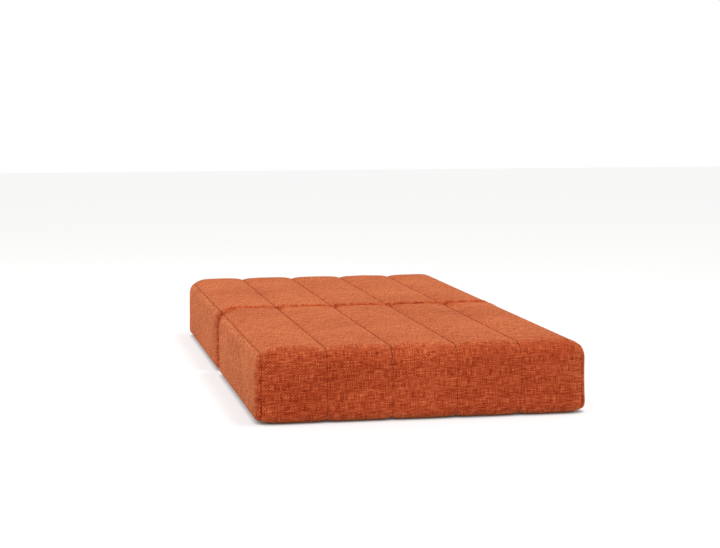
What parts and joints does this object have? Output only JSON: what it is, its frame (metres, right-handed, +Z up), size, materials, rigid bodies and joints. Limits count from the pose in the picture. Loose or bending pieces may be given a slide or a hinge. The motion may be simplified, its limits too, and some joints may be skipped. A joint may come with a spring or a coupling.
{
  "type": "chair bed",
  "caption": "Chair bed of two quilted foam blocks with lengthwise channels, end to end as a bed, hinged to fold back on each other as a low seat.",
  "frame": {"origin": "on the floor under the middle of the joint between the two blocks, which is the bottom centre of the bed", "axes": "+X across the bed, +Y along it from the front block to the rear block, +Z up"},
  "size_m": [0.992, 1.9, 0.223],
  "materials": {
    "upholstery": "matte",
    "base_cloth": "matte",
    "foam": "matte",
    "comfort_foam": "matte",
    "zip_tape": "matte",
    "zip_coil": "satin",
    "zip_metal": "satin"
  },
  "bodies": {
    "rear_block": {"rear_channel_1": "upholstery", "rear_channel_2": "upholstery", "rear_channel_3": "upholstery", "rear_channel_4": "upholstery", "rear_channel_5": "upholstery", "rear_left_side_panel": "upholstery", "rear_right_side_panel": "upholstery", "rear_base_panel": "base_cloth", "rear_foam_core": "foam", "rear_comfort_layer": "comfort_foam", "rear_zip_tapes": "zip_tape", "rear_zip_coil": "zip_coil", "rear_zip_stops": "zip_metal", "hinge_strip": "upholstery"},
    "front_block": {"front_channel_1": "upholstery", "front_channel_2": "upholstery", "front_channel_3": "upholstery", "front_channel_4": "upholstery", "front_channel_5": "upholstery", "front_left_side_panel": "upholstery", "front_right_side_panel": "upholstery", "front_base_panel": "upholstery", "front_foam_core": "foam", "front_comfort_layer": "comfort_foam", "front_zip_tapes": "zip_tape", "front_zip_coil": "zip_coil", "front_zip_stops": "zip_metal"},
    "rear_zip_slider": {"rear_zip_slider": "zip_metal"},
    "front_zip_slider": {"front_zip_slider": "zip_metal"}
  },
  "joints": [
    {"name": "fold", "type": "hinge", "parent": "rear_block", "child": "front_block", "pos_m": [0, 0, 0.2235], "axis": [-1, 0, 0], "range_deg": [0, 180], "deforming": ["hinge_strip"]},
    {"name": "rear_zip_slide", "type": "slide", "parent": "rear_block", "child": "rear_zip_slider", "axis": [-1, 0, 0], "range_m": [0, 0.776]},
    {"name": "front_zip_slide", "type": "slide", "parent": "front_block", "child": "front_zip_slider", "axis": [-1, 0, 0], "range_m": [0, 0.776]}
  ]
}
